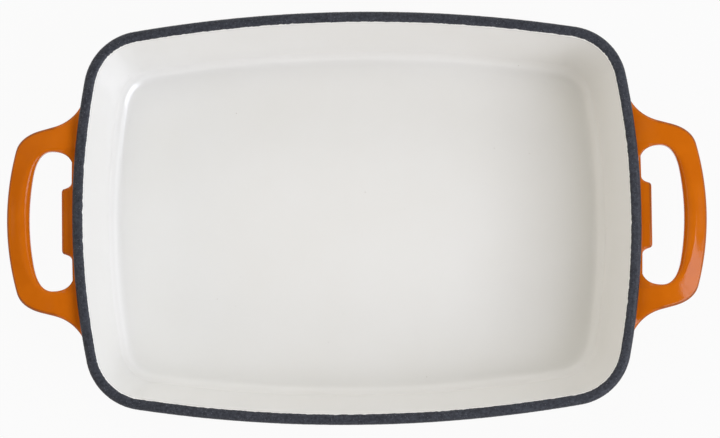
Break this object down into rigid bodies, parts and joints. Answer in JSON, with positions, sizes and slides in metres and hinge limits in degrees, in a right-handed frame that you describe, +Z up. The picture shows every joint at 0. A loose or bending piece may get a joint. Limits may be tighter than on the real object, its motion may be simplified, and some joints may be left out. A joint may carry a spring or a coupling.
{
  "type": "cast iron baking dish",
  "caption": "Rectangular enamelled cast iron baking dish with bowed sides, rounded corners, a dark rim, a pale lining and a loop handle at each end.",
  "frame": {"origin": "on the plane that the foot ring stands on, under the middle of the dish", "axes": "+X from the left handle to the right handle along the length, +Y across the width, +Z up out of the dish"},
  "size_m": [0.4144, 0.2444, 0.062],
  "materials": {
    "cast_iron": "matte",
    "cream_enamel": "gloss",
    "dark_enamel": "matte",
    "orange_enamel": "gloss"
  },
  "bodies": {
    "root": {"dish_casting": "cast_iron", "left_handle_casting": "cast_iron", "right_handle_casting": "cast_iron", "left_lug_casting": "cast_iron", "right_lug_casting": "cast_iron", "interior_enamel": "cream_enamel", "rim_enamel": "dark_enamel", "exterior_enamel": "orange_enamel", "base_enamel": "orange_enamel", "left_handle_enamel": "orange_enamel", "right_handle_enamel": "orange_enamel", "left_lug_enamel": "orange_enamel", "right_lug_enamel": "orange_enamel"}
  },
  "joints": []
}
